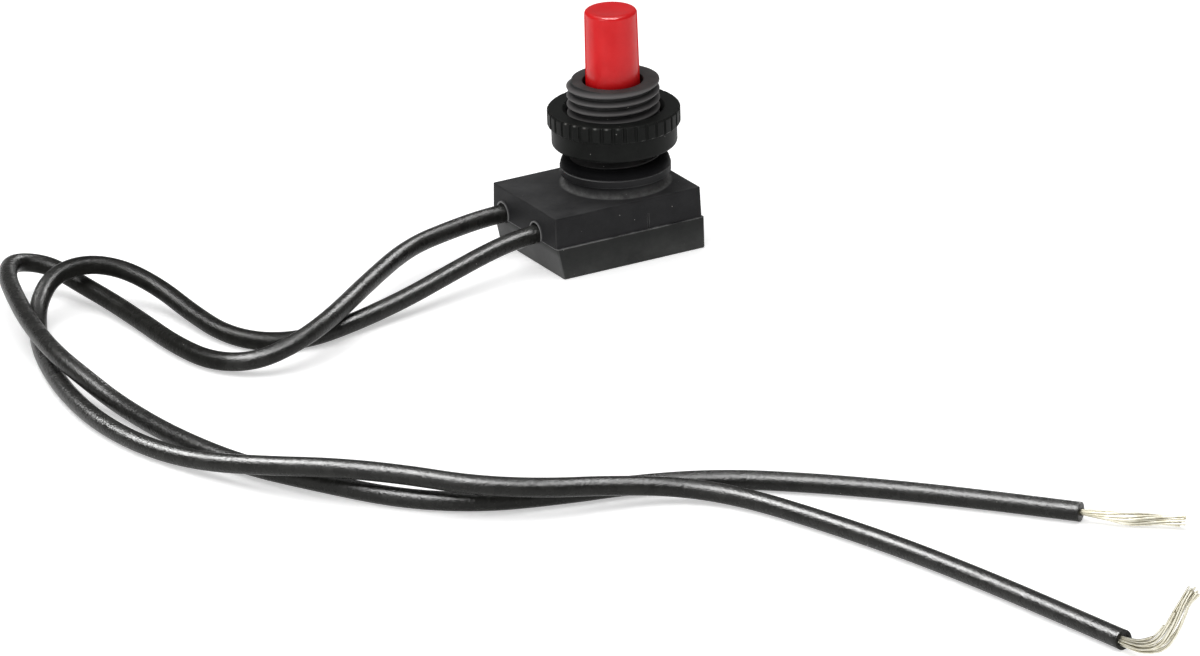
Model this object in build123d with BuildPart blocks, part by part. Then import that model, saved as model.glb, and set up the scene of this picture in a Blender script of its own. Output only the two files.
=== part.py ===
"""Push-button switch: a two-part moulded body with a threaded neck, a knurled nut,
a red button over a ratchet mechanism, and two insulated leads with stripped ends.

The neck's axis is the Z axis, the body's underside is Z = 0, and the leads leave towards -X.
"""
import math
import os

from build123d import *

# Body, in millimetres
base_height = 3.52
upper_height = 3.41
lead_side = 11.37
far_side = 6.6
body_width = 13.88
body_draft_angle = 1.7
body_corner = 0.25
edge_round = 0.12
wall = 1.1
roof = 1.2
floor = 1.0
base_ledge = 0.17
base_setback = 0.1
base_slope = 0.72
lip_height = 0.6
lip_thickness = 0.4
seat_clearance = 0.1
witness_width = 0.2
witness_depth = 0.12
witness_height = 1.7
edge_tolerance = 0.01

# Neck, thread major diameter 10 mm
thread_diameter = 10.0
neck_height = 11.52
neck_chamfer = 0.3
boss_diameter = 11.06
boss_height = 1.24
boss_foot = 0.35
rim_diameter = 11.96
rim_height = 0.78
collar_diameter = 11.8
collar_height = 1.81
collar_round = 0.84
button_hole_diameter = 6.5
guide_bore_diameter = 7.6
neck_lip = 1.6
rib_width = 1.0
rib_depth = 0.5
rib_length = 4.7

# Knurled nut
nut_lift = 1.35
nut_bore_clearance = 0.1
skirt_diameter = 13.5
skirt_height = 2.25
skirt_round = 0.3
knurl_diameter = 14.3
knurl_height = 1.8
knurl_count = 36
knurl_groove_radius = 0.22
knurl_round = 0.15
nut_chamfer = 0.4

# Button
button_diameter = 5.8
button_top_diameter = 5.64
button_reach = 7.9
button_edge_round = 0.4
dish_margin = 0.35
dish_depth = 0.12
button_gap = 0.1
flange_length = 5.3
flange_clearance = 0.15
rib_clearance = 0.15
press_travel = 3.2

# Ratchet teeth between button and rotor
crown_teeth = 8
crown_inner_diameter = 4.0
tooth_height = 1.0
tooth_share = 0.9
tooth_mesh = 0.25

# Rotor, contacts and spring
rotor_clearance = 0.2
rotor_disc_height = 1.75
hub_diameter = 5.2
hub_boss_diameter = 4.14
hub_boss_clearance = 0.03
rotor_pin_diameter = 2.2
rotor_pin_length = 3.4
pin_clearance = 0.1
spring_bore_diameter = 3.2
spring_bore_cap = 0.6
bridge_thickness = 0.3
bridge_ring_diameter = 6.0
bridge_arm_width = 1.4
bridge_arms = 4
rivet_diameter = 0.75
rivet_height = 0.21
contact_gap = 0.03
strip_thickness = 0.3
strip_clearance = 0.15
strip_width = 0.9
strip_end = 0.9
stake_x = -4.2
stake_diameter = 0.5
stake_head = 0.2
stake_clearance = 0.05
spring_wire = 0.35
spring_diameter = 2.55
spring_turns = 8
spring_gap = 0.03
post_diameter = 1.8
post_height = 3.0

# Leads
lead_diameter = 2.0
lead_hole_clearance = 0.1
lead_lip_width = 0.22
lead_lip_height = 0.1
lead_drop = 1.6
lead_a_inset = 2.36
lead_b_inset = 4.32
lead_tail_x = -9.2
core_diameter = 1.2
crimp_start_x = -8.6
crimp_end_x = -6.4
crimp_wall = 0.33
crimp_clearance = 0.02
strand_diameter = 1.1
lead_axis_height = base_height + upper_height - roof - lead_drop
lead_a_y = body_width / 2 - lead_a_inset
lead_b_y = lead_b_inset - body_width / 2

lead_a_route = [
    (lead_tail_x, lead_a_y, lead_axis_height), (-12.9, lead_a_y, lead_axis_height),
    (-18.2, 3.7, 4.0), (-24.4, 2.2, 3.7), (-32.6, -4.2, 3.6), (-40.6, -11.1, 3.6),
    (-46.0, -13.6, 2.8), (-50.6, -13.0, 1.5), (-53.8, -9.2, 1.0), (-54.8, -2.7, 1.0),
    (-54.7, 4.8, 1.0), (-55.2, 11.3, 1.4), (-56.3, 16.6, 2.0), (-57.5, 21.2, 2.9),
    (-61.4, 22.1, 3.8), (-64.1, 18.0, 4.1), (-65.8, 12.4, 3.9), (-67.6, 5.4, 3.6),
    (-69.0, -3.4, 3.4), (-68.6, -9.4, 2.6), (-67.6, -15.2, 1.3), (-66.6, -25.2, 1.0),
    (-64.2, -36.0, 1.0), (-59.9, -44.4, 1.0), (-55.1, -52.8, 1.0), (-48.9, -58.2, 1.0),
    (-41.2, -60.9, 1.0), (-33.2, -62.7, 1.0), (-25.4, -66.3, 1.0), (-18.5, -72.3, 1.0),
    (-12.1, -79.0, 1.0), (-6.0, -86.2, 1.0), (-0.4, -93.3, 1.0),
]
lead_b_route = [
    (lead_tail_x, lead_b_y, lead_axis_height), (-12.9, lead_b_y, 4.0),
    (-17.4, -3.4, 3.6), (-23.0, -4.7, 2.7), (-29.8, -6.5, 1.7), (-36.9, -8.1, 1.1),
    (-42.8, -9.2, 1.0), (-47.0, -7.3, 1.0), (-49.1, -2.8, 1.0), (-49.5, 3.8, 1.3),
    (-50.1, 9.8, 2.3), (-52.4, 14.0, 3.7), (-56.2, 15.4, 4.6), (-60.3, 14.8, 4.2),
    (-63.2, 12.4, 2.5), (-65.2, 8.6, 1.2), (-67.8, 2.1, 1.0), (-70.3, -8.0, 1.0),
    (-71.2, -18.1, 1.0), (-70.0, -27.1, 1.0), (-67.4, -34.2, 1.4), (-64.0, -41.4, 2.7),
    (-59.4, -47.4, 3.5), (-54.6, -52.7, 3.5), (-50.2, -58.7, 3.4), (-44.3, -62.5, 3.0),
    (-37.2, -64.0, 2.2), (-30.6, -66.4, 1.4), (-26.1, -71.7, 1.0), (-22.9, -80.8, 1.0),
    (-20.0, -90.6, 1.0), (-17.6, -101.4, 1.0), (-15.7, -111.9, 1.0), (-14.0, -122.2, 1.0),
]
lead_a_strand_route = [lead_a_route[-1], (2.7, -97.2, 1.0), (6.9, -100.7, 1.0)]
lead_b_strand_route = [
    lead_b_route[-1], (-13.6, -124.8, 1.0), (-13.4, -127.4, 2.3), (-13.0, -129.0, 4.4),
    (-11.6, -129.4, 7.8),
]

# Levels and radii that follow from the sizes above
body_top = base_height + upper_height
ceiling = body_top - roof
collar_bottom = body_top + boss_height
rim_top = collar_bottom + rim_height
collar_top = collar_bottom + collar_height
neck_top = body_top + neck_height
guide_top = neck_top - neck_lip
guide_radius = guide_bore_diameter / 2
body_length = lead_side + far_side
body_middle = (far_side - lead_side) / 2

nut_bottom = collar_top + nut_lift
knurl_bottom = nut_bottom + skirt_height
nut_top = knurl_bottom + knurl_height

flange_top = guide_top - button_gap
flange_radius = guide_radius - flange_clearance
tooth_root = flange_top - flange_length
tooth_tip = tooth_root - tooth_height
button_top = neck_top + button_reach
dish_reach = button_top_diameter / 2 - button_edge_round - dish_margin
dish_radius = (dish_reach**2 + dish_depth**2) / (2 * dish_depth)

rotor_tip = tooth_tip + tooth_mesh
rotor_root = rotor_tip - tooth_height
rotor_radius = guide_radius - rotor_clearance
rotor_disc_bottom = rotor_root - rotor_disc_height
spring_top = rotor_root - spring_bore_cap
tooth_pitch = 360 / crown_teeth

strip_bottom = ceiling - strip_thickness
fixed_face = strip_bottom - rivet_height
bridge_face = fixed_face - contact_gap
bridge_top = bridge_face - rivet_height
bridge_bottom = bridge_top - bridge_thickness
cavity_half_width = body_width / 2 - wall
strip_inner = guide_radius + strip_clearance
strip_middle = strip_inner + strip_width / 2
rivet_circle = strip_inner + rivet_diameter / 2
bridge_reach = rivet_circle + rivet_diameter / 2

lead_hole_radius = lead_diameter / 2 + lead_hole_clearance
base_lead_side = lead_side - base_setback
lip_outer = cavity_half_width - seat_clearance
lip_end = far_side - wall - seat_clearance
stake_length = strip_thickness + stake_head

os.makedirs("parts", exist_ok=True)


def write(builder, label):
    """Labels a finished piece and writes its file."""
    builder.part.label = label
    export_step(builder.part, f"parts/{label}.step")


def corner_radii(route):
    """One bend radius for each inner point: as large as the two runs beside it allow."""
    radii = []
    for before, here, after in zip(route, route[1:], route[2:]):
        arriving = Vector(*here) - Vector(*before)
        leaving = Vector(*after) - Vector(*here)
        turn = math.radians(arriving.get_angle(leaving))
        radii.append(0.45 * min(arriving.length, leaving.length) / math.tan(turn / 2))
    return radii


# Upper shell: drafted box, boss, and collar with a rim round its foot
with BuildPart() as housing:
    with BuildSketch(Plane.XY.offset(base_height)):
        with Locations((body_middle, 0)):
            RectangleRounded(body_length, body_width, body_corner)
    extrude(amount=upper_height, taper=body_draft_angle)
    fillet(housing.faces().sort_by(Axis.Z)[-1].edges(), edge_round)
    with BuildSketch(Plane.XZ):
        with BuildLine():
            Polyline(
                (0, ceiling), (boss_diameter / 2, ceiling), (boss_diameter / 2, collar_bottom),
                (rim_diameter / 2, collar_bottom), (rim_diameter / 2, rim_top),
                (collar_diameter / 2, rim_top), (collar_diameter / 2, collar_top), (0, collar_top), close=True,
            )
        make_face()
    revolve(axis=Axis.Z)
    rings = housing.edges().filter_by(GeomType.CIRCLE)
    fillet(rings.filter_by(lambda e: abs(e.radius - boss_diameter / 2) < edge_tolerance
                           and abs(e.center().Z - body_top) < edge_tolerance), boss_foot)
    rings = housing.edges().filter_by(GeomType.CIRCLE)
    fillet(rings.filter_by(lambda e: abs(e.radius - collar_diameter / 2) < edge_tolerance
                           and abs(e.center().Z - collar_top) < edge_tolerance), collar_round)
    with BuildSketch(Plane.XY.offset(base_height)):
        with Locations((body_middle, 0)):
            Rectangle(body_length - 2 * wall, 2 * cavity_half_width)
    extrude(amount=ceiling - base_height, mode=Mode.SUBTRACT)
    with BuildSketch(Plane.XY.offset(ceiling)):
        Circle(guide_radius)
    extrude(amount=collar_top - ceiling, mode=Mode.SUBTRACT)
    # Stakes under the roof hold the contact strips
    with BuildSketch(Plane.XY.offset(ceiling)):
        with Locations((stake_x, strip_middle), (stake_x, -strip_middle)):
            Circle(stake_diameter / 2)
    extrude(amount=-stake_length)
    # Thin lips round the lead holes
    with BuildSketch(Plane.YZ.offset(-lead_side - lead_lip_height)):
        for lead_y in (lead_a_y, lead_b_y):
            with Locations((lead_y, lead_axis_height)):
                Circle(lead_hole_radius + lead_lip_width)
        with Locations((0, base_height)):
            Rectangle(body_width, base_height, align=(Align.CENTER, Align.MAX), mode=Mode.SUBTRACT)
    extrude(amount=lead_lip_height + wall / 2)
    # Slots for the leads, open at the seam
    with BuildSketch(Plane.YZ.offset(-lead_side - wall)):
        for lead_y in (lead_a_y, lead_b_y):
            with Locations((lead_y, lead_axis_height)):
                Circle(lead_hole_radius)
            with Locations((lead_y, lead_axis_height)):
                Rectangle(2 * lead_hole_radius, 2 * lead_hole_radius, align=(Align.CENTER, Align.MAX))
    extrude(amount=3 * wall, mode=Mode.SUBTRACT)
    # Witness line on the front wall, above the seam
    with BuildSketch(Plane.XY.offset(base_height)):
        with Locations((0, -body_width / 2)):
            Rectangle(witness_width, 2 * witness_depth)
    extrude(amount=witness_height, mode=Mode.SUBTRACT)
write(housing, "housing")

# Neck, one moulding with the shell: a tube as wide as its thread, with a lip round the button
with BuildPart() as neck:
    with BuildSketch(Plane.XY.offset(collar_top)):
        Circle(thread_diameter / 2)
        Circle(guide_radius, mode=Mode.SUBTRACT)
    extrude(amount=guide_top - collar_top)
    with BuildSketch(Plane.XY.offset(guide_top)):
        Circle(thread_diameter / 2)
        Circle(button_hole_diameter / 2, mode=Mode.SUBTRACT)
    extrude(amount=neck_lip)
    rings = neck.edges().filter_by(GeomType.CIRCLE)
    chamfer(rings.filter_by(lambda e: abs(e.radius - thread_diameter / 2) < edge_tolerance
                            and abs(e.center().Z - neck_top) < edge_tolerance), neck_chamfer)
    # Two ribs in the bore keep the button from turning
    with BuildSketch(Plane.XY.offset(guide_top - rib_length)):
        with PolarLocations(guide_radius - rib_depth, 2):
            Rectangle(2 * rib_depth, rib_width, align=(Align.MIN, Align.CENTER))
    extrude(amount=rib_length)
write(neck, "neck")

# Lower tray, with its lead side leaning in towards the underside
with BuildPart() as base_cover:
    with BuildSketch(Plane.XZ):
        with BuildLine():
            Polyline(
                (-base_lead_side, base_height), (base_slope - base_lead_side, 0),
                (far_side + base_ledge, 0), (far_side + base_ledge, base_height), close=True,
            )
        make_face()
    extrude(amount=body_width / 2 + base_ledge, both=True)
    uprights = base_cover.edges().filter_by(lambda e: abs(e.center().Z - base_height / 2) < edge_tolerance)
    fillet(uprights, body_corner)
    fillet(base_cover.faces().sort_by(Axis.Z)[0].edges(), edge_round)
    # Locating lip inside the upper shell on three sides
    with BuildSketch(Plane.XY.offset(base_height)):
        with Locations((lip_end, 0)):
            Rectangle(lip_end - crimp_end_x, 2 * lip_outer, align=(Align.MAX, Align.CENTER))
    extrude(amount=lip_height)
    with BuildSketch(Plane.XY.offset(floor)):
        with Locations((lip_end - lip_thickness, 0)):
            Rectangle(lip_end - lip_thickness + base_lead_side - base_slope - wall,
                      2 * (lip_outer - lip_thickness), align=(Align.MAX, Align.CENTER))
    extrude(amount=base_height + lip_height - floor, mode=Mode.SUBTRACT)
    with BuildSketch(Plane.XY.offset(floor)):
        Circle(post_diameter / 2)
    extrude(amount=post_height)
    with BuildSketch(Plane.YZ.offset(-lead_side - wall)):
        with Locations((lead_a_y, lead_axis_height), (lead_b_y, lead_axis_height)):
            Circle(lead_hole_radius)
    extrude(amount=3 * wall, mode=Mode.SUBTRACT)
write(base_cover, "base_cover")

# Nut: plain skirt below, knurled band above
with BuildPart() as knurled_nut:
    nut_bore_radius = thread_diameter / 2 + nut_bore_clearance
    with BuildSketch(Plane.XZ):
        with BuildLine():
            Polyline(
                (nut_bore_radius, nut_bottom), (skirt_diameter / 2, nut_bottom),
                (skirt_diameter / 2, knurl_bottom), (knurl_diameter / 2, knurl_bottom),
                (knurl_diameter / 2, nut_top), (nut_bore_radius, nut_top), close=True,
            )
        make_face()
    revolve(axis=Axis.Z)
    rings = knurled_nut.edges().filter_by(GeomType.CIRCLE)
    bore_rings = rings.filter_by(lambda e: abs(e.radius - nut_bore_radius) < edge_tolerance)
    skirt_ring = rings.filter_by(lambda e: abs(e.radius - skirt_diameter / 2) < edge_tolerance
                                 and abs(e.center().Z - nut_bottom) < edge_tolerance)
    band_rings = rings.filter_by(lambda e: abs(e.radius - knurl_diameter / 2) < edge_tolerance)
    chamfer(bore_rings, nut_chamfer)
    fillet(skirt_ring, skirt_round)
    chamfer(band_rings, knurl_round)
    with BuildSketch(Plane.XY.offset(knurl_bottom)):
        with PolarLocations(knurl_diameter / 2, knurl_count):
            Circle(knurl_groove_radius)
    extrude(amount=knurl_height, mode=Mode.SUBTRACT)
write(knurled_nut, "knurled_nut")

# Cutters for the ratchet teeth: V gaps that widen with the radius
gap_radii = (crown_inner_diameter / 2 - rotor_clearance, guide_radius)
cut_past = 0.2


def gap_half_width(radius, height):
    """Half width of a tooth gap, at a height above its root."""
    return tooth_share * radius * math.tan(math.radians(tooth_pitch / 2)) * height / tooth_height


with BuildPart() as button_tooth_gap:
    for radius in gap_radii:
        half = gap_half_width(radius, tooth_height + cut_past)
        with BuildSketch(Plane.YZ.offset(radius)):
            with BuildLine():
                Polyline(
                    (-half, tooth_tip - cut_past), (half, tooth_tip - cut_past), (0, tooth_root), close=True,
                )
            make_face()
    loft(ruled=True)

with BuildPart() as rotor_tooth_gap:
    for radius in gap_radii:
        half = gap_half_width(radius, tooth_height + cut_past)
        with BuildSketch(Plane.YZ.offset(radius)):
            with BuildLine():
                Polyline(
                    (-half, rotor_tip + cut_past), (half, rotor_tip + cut_past), (0, rotor_root), close=True,
                )
            make_face()
    loft(ruled=True)

# Button: drafted stem, flange that stops under the neck's lip, crown of teeth below
with BuildPart() as button:
    with BuildSketch(Plane.XZ):
        with BuildLine():
            Polyline(
                (crown_inner_diameter / 2, tooth_tip), (flange_radius, tooth_tip),
                (flange_radius, flange_top), (button_diameter / 2, flange_top),
                (button_diameter / 2, neck_top), (button_top_diameter / 2, button_top), (0, button_top),
                (0, tooth_root), (crown_inner_diameter / 2, tooth_root), close=True,
            )
        make_face()
    revolve(axis=Axis.Z)
    fillet(button.faces().sort_by(Axis.Z)[-1].edges(), button_edge_round)
    with Locations((0, 0, button_top - dish_depth + dish_radius)):
        Sphere(dish_radius, mode=Mode.SUBTRACT)
    with PolarLocations(0, crown_teeth):
        add(button_tooth_gap.part, mode=Mode.SUBTRACT)
    with BuildSketch(Plane.XY.offset(tooth_root)):
        Circle(rotor_pin_diameter / 2 + pin_clearance)
    extrude(amount=rotor_pin_length + pin_clearance, mode=Mode.SUBTRACT)
    with BuildSketch(Plane.XY.offset(tooth_tip)):
        with PolarLocations(guide_radius - rib_depth - rib_clearance, 2):
            Rectangle(2 * rib_depth, rib_width + 2 * rib_clearance, align=(Align.MIN, Align.CENTER))
    extrude(amount=flange_top - tooth_tip, mode=Mode.SUBTRACT)
write(button, "button")

# Rotor: crown that the button's teeth turn, pin in the button, hub that carries the bridge
with BuildPart() as index_rotor:
    with BuildSketch(Plane.XZ):
        with BuildLine():
            Polyline(
                (0, rotor_root + rotor_pin_length), (rotor_pin_diameter / 2, rotor_root + rotor_pin_length),
                (rotor_pin_diameter / 2, rotor_root), (crown_inner_diameter / 2, rotor_root),
                (crown_inner_diameter / 2, rotor_tip), (rotor_radius, rotor_tip),
                (rotor_radius, rotor_disc_bottom), (hub_diameter / 2, rotor_disc_bottom),
                (hub_diameter / 2, bridge_top), (hub_boss_diameter / 2, bridge_top),
                (hub_boss_diameter / 2, bridge_bottom), (spring_bore_diameter / 2, bridge_bottom),
                (spring_bore_diameter / 2, spring_top), (0, spring_top), close=True,
            )
        make_face()
    revolve(axis=Axis.Z)
    with PolarLocations(0, crown_teeth, start_angle=tooth_pitch / 4):
        add(rotor_tooth_gap.part, mode=Mode.SUBTRACT)
write(index_rotor, "index_rotor")

# Bridge: brass cross under the rotor
with BuildPart() as contact_bridge:
    with BuildSketch(Plane.XY.offset(bridge_bottom)):
        Circle(bridge_ring_diameter / 2)
        with PolarLocations(0, bridge_arms):
            Rectangle(bridge_reach, bridge_arm_width, align=(Align.MIN, Align.CENTER))
        Circle(hub_boss_diameter / 2 + hub_boss_clearance, mode=Mode.SUBTRACT)
    extrude(amount=bridge_thickness)
write(contact_bridge, "contact_bridge")

with BuildPart() as bridge_contacts:
    with BuildSketch(Plane.XY.offset(bridge_top)):
        with PolarLocations(rivet_circle, bridge_arms):
            Circle(rivet_diameter / 2)
    extrude(amount=rivet_height)
write(bridge_contacts, "bridge_contacts")

with BuildPart() as strip_contacts:
    with BuildSketch(Plane.XY.offset(fixed_face)):
        with Locations((0, rivet_circle), (0, -rivet_circle)):
            Circle(rivet_diameter / 2)
    extrude(amount=rivet_height)
write(strip_contacts, "strip_contacts")

# Contact strips: flat tongue under the roof, crimp round the lead's core
crimp_inner = core_diameter / 2 + crimp_clearance
for label, lead_y, side in (("contact_strip_a", lead_a_y, 1), ("contact_strip_b", lead_b_y, -1)):
    tongue_y = side * strip_middle
    with BuildPart() as contact_strip:
        with BuildSketch(Plane.XY.offset(strip_bottom)):
            with Locations((strip_end, tongue_y)):
                Rectangle(strip_end - crimp_end_x, strip_width, align=(Align.MAX, Align.CENTER))
            with Locations((crimp_start_x, lead_y)):
                Rectangle(crimp_end_x - crimp_start_x + strip_width, strip_width,
                          align=(Align.MIN, Align.CENTER))
            with Locations((crimp_end_x, (tongue_y + lead_y) / 2)):
                Rectangle(strip_width, abs(tongue_y - lead_y) + strip_width, align=(Align.MIN, Align.CENTER))
            with Locations((stake_x, tongue_y)):
                Circle(stake_diameter / 2 + stake_clearance, mode=Mode.SUBTRACT)
        extrude(amount=strip_thickness)
        with BuildSketch(Plane.YZ.offset(crimp_start_x)):
            with Locations((lead_y, lead_axis_height)):
                Circle(crimp_inner + crimp_wall)
                Rectangle(strip_width, ceiling - lead_axis_height, align=(Align.CENTER, Align.MIN))
                Circle(crimp_inner, mode=Mode.SUBTRACT)
        extrude(amount=crimp_end_x - crimp_start_x)
    write(contact_strip, label)

# Return spring between the tray's floor and the rotor
with BuildPart() as return_spring:
    spring_height = spring_top - floor - spring_wire - 2 * spring_gap
    with BuildLine() as coil:
        Helix(
            pitch=spring_height / spring_turns, height=spring_height,
            radius=(spring_diameter - spring_wire) / 2, center=(0, 0, floor + spring_wire / 2 + spring_gap),
        )
    with BuildSketch(Plane(origin=coil.line @ 0, z_dir=coil.line % 0)):
        Circle(spring_wire / 2)
    sweep(is_frenet=True)
write(return_spring, "return_spring")

# Leads: insulated cord outside, bare core in the crimp, strands at the stripped end
for label, route, diameter in (
    ("lead_a", lead_a_route, lead_diameter), ("lead_b", lead_b_route, lead_diameter),
    ("lead_a_strands", lead_a_strand_route, strand_diameter),
    ("lead_b_strands", lead_b_strand_route, strand_diameter),
):
    radii = corner_radii(route)
    with BuildPart() as cord:
        with BuildLine() as path:
            FilletPolyline(*route, radius=radii)
        with BuildSketch(Plane(origin=path.line @ 0, z_dir=path.line % 0)):
            Circle(diameter / 2)
        sweep()
    write(cord, label)
    length = sum(edge.length for edge in path.edges())
    swept = math.pi * diameter ** 2 / 4 * length
    print(label, "length", round(length, 1), "volume over swept", round(cord.part.volume / swept, 4))
    print(label, "radii", [round(radius, 1) for radius in radii])

for label, lead_y in (("lead_a_core", lead_a_y), ("lead_b_core", lead_b_y)):
    with BuildPart() as core:
        with BuildSketch(Plane.YZ.offset(lead_tail_x)):
            with Locations((lead_y, lead_axis_height)):
                Circle(core_diameter / 2)
        extrude(amount=crimp_end_x - lead_tail_x)
    write(core, label)
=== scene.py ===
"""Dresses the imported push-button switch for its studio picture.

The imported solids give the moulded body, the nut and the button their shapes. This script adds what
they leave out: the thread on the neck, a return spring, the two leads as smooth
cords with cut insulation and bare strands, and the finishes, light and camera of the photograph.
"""
import math
import random

import bpy
from mathutils import Matrix, Vector


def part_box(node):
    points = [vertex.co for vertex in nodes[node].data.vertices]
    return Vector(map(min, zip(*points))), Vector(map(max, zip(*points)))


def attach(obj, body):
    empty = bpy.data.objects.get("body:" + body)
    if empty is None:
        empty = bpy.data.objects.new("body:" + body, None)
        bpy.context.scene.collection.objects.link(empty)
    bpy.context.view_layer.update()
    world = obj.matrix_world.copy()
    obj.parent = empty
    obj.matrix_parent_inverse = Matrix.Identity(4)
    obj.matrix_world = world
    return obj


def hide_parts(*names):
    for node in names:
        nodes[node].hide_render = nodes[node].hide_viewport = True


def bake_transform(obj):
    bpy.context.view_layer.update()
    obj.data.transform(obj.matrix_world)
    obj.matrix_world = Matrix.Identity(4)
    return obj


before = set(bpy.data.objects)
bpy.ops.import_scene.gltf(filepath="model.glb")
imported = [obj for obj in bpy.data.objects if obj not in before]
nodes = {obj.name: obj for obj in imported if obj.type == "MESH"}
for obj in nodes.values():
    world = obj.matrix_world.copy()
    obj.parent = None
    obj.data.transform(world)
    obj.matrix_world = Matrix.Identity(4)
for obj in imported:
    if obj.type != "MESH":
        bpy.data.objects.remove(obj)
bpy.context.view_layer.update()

# A millimetre in metres, and how near two points are one: at a cut, and along the wound thread
MM = 0.001
CLOSE = 0.0005 * MM
WELD = 0.002 * MM

# The photograph: its frame, and where it shows a point on the neck's axis
PHOTO_WIDTH = 1200
PHOTO_HEIGHT = 656
AXIS_POINT = Vector((0, 0, 9.5)) * MM
AXIS_PIXEL_X = 615.1
AXIS_PIXEL_Y = 157.6
PIXELS_PER_MM = 9.331
CAMERA_AZIMUTH = math.radians(-29.03)
CAMERA_ELEVATION = math.radians(20.39)
CAMERA_ROLL = math.radians(-1.8)
CAMERA_DISTANCE = 0.95
SENSOR_WIDTH = 36.0

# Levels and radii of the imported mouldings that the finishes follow, in millimetres
SEAM_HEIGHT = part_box("housing")[0][2] / MM
BODY_TOP = 6.93
BOSS_RADIUS = 5.53
RIM_RADIUS = 5.98
RIM_TOP = 8.95
BAND_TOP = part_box("knurled_nut")[1][2] / MM
BAND_HEIGHT = 1.8
BAND_RADIUS = 7.15
KNURL_COUNT = 36
LIP_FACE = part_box("housing")[0][0] / MM
LIP_RADIUS = 1.24

# Marks on the body, painted light and shade among them, in millimetres: a mark fades in from its start to
# where it is full
EDGE_FADE = 0.02
SEAM_MARK = 0.1
FOOT_START_HEIGHT = 0.9
FOOT_FULL_HEIGHT = 0.05
FOOT_START_REACH = 0.62
FOOT_FULL_REACH = 0.36
RIM_FADE = 0.12
RIM_MARK = 0.09
LIP_MARK = 0.12
LIP_START_DEPTH = 0.07
LIP_FULL_DEPTH = 0.03
FLOOR_GLOW_HEIGHT = 3.0
PALE_SLOPE_START = 3.4
PALE_SLOPE_FULL = 2.6

# Marks on the nut, the thread and the leads, in millimetres: painted glints on the nut, rub and painted
# highlight on the thread's crests, painted shade on lead A's strands
GLINT_INSET = 0.08
GLINT_HALF_HEIGHT = 0.15
GLINT_START_DEPTH = 0.22
GLINT_FULL_DEPTH = 0.06
THREAD_RUB_AND_HIGHLIGHT_DEPTH = 0.5
THREAD_RUB_AND_HIGHLIGHT_FADE = 2.0
NECK_TOP_FADE = 0.05
DULL_NEAR_X = -45.0
DULL_NEAR_FADE = 3.0
DULL_FAR_X = -59.0
DULL_FAR_FADE = 4.0
DULL_FRONT_Y = -10.5
DULL_FRONT_FADE = 2.0
EXIT_SHADE_REACH = 3.0
EXIT_SHADE_FULL = 0.4

# Thread on the neck, in millimetres
THREAD_PITCH = 1.0
THREAD_DEPTH = 0.6
CREST_WIDTH = 0.14
ROOT_WIDTH = 0.17
CREST_ROUND = 0.035
CREST_BELOW_TOP = 1.09
RIM_EASE = 0.05
HOLE_EASE = 0.12
BUTTON_HOLE_DIAMETER = 6.5
GUIDE_BORE_DIAMETER = 7.6
NECK_LIP = 1.6
RIB_WIDTH = 1.0
RIB_DEPTH = 0.5
RIB_LENGTH = 4.7
CUT_PAST = 1.0
TURN_STEPS = 120
BORE_SIDES = 96

# Return spring, in millimetres
SPRING_WIRE = 0.35
SPRING_DIAMETER = 2.55
SPRING_TURNS = 8
SPRING_STEPS = 24

# Leads, in millimetres: the route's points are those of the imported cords
LEAD_DIAMETER = 2.0
CORE_DIAMETER = 1.16
LEAD_A_HOLE = 0.74
LEAD_A_LENGTH = 234.4
LEAD_B_LENGTH = 232.0
LEAD_A_ROUTE = [
    (-9.2, 4.58, 4.13), (-12.9, 4.58, 4.13), (-18.2, 3.7, 4.0), (-24.4, 2.2, 3.7), (-32.6, -4.2, 3.6),
    (-40.6, -11.1, 3.6), (-46.0, -13.6, 2.8), (-50.6, -13.0, 1.5), (-53.8, -9.2, 1.0), (-54.8, -2.7, 1.0),
    (-54.7, 4.8, 1.0), (-55.2, 11.3, 1.4), (-56.3, 16.6, 2.0), (-57.5, 21.2, 2.9), (-61.4, 22.1, 3.8),
    (-64.1, 18.0, 4.1), (-65.8, 12.4, 3.9), (-67.6, 5.4, 3.6), (-69.0, -3.4, 3.4), (-68.6, -9.4, 2.6),
    (-67.6, -15.2, 1.3), (-66.6, -25.2, 1.0), (-64.2, -36.0, 1.0), (-59.9, -44.4, 1.0), (-55.1, -52.8, 1.0),
    (-48.9, -58.2, 1.0), (-41.2, -60.9, 1.0), (-33.2, -62.7, 1.0), (-25.4, -66.3, 1.0), (-18.5, -72.3, 1.0),
    (-12.1, -79.0, 1.0), (-6.0, -86.2, 1.0), (-0.4, -93.3, 1.0),
]
LEAD_B_ROUTE = [
    (-9.2, -2.62, 4.13), (-12.9, -2.62, 4.0), (-17.4, -3.4, 3.6), (-23.0, -4.7, 2.7), (-29.8, -6.5, 1.7),
    (-36.9, -8.1, 1.1), (-42.8, -9.2, 1.0), (-47.0, -7.3, 1.0), (-49.1, -2.8, 1.0), (-49.5, 3.8, 1.3),
    (-50.1, 9.8, 2.3), (-52.4, 14.0, 3.7), (-56.2, 15.4, 4.6), (-60.3, 14.8, 4.2), (-63.2, 12.4, 2.5),
    (-65.2, 8.6, 1.2), (-67.8, 2.1, 1.0), (-70.3, -8.0, 1.0), (-71.2, -18.1, 1.0), (-70.0, -27.1, 1.0),
    (-67.4, -34.2, 1.4), (-64.0, -41.4, 2.7), (-59.4, -47.4, 3.5), (-54.6, -52.7, 3.5), (-50.2, -58.7, 3.4),
    (-44.3, -62.5, 3.0), (-37.2, -64.0, 2.2), (-30.6, -66.4, 1.4), (-26.1, -71.7, 1.0), (-22.9, -80.8, 1.0),
    (-20.0, -90.6, 1.0), (-17.6, -101.4, 1.0), (-15.7, -111.9, 1.0), (-14.0, -122.2, 1.0),
]

# Cut ends of the insulation, in millimetres
SLEEVE_BEHIND = 1.2
SLEEVE_PROUD = 0.012
SLEEVE_PINCH = 0.04
CUT_SLANT = 0.07
CUT_WAVE = 0.03
CUT_ROUGHNESS = 0.012
CUT_ROUND = 0.06

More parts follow.
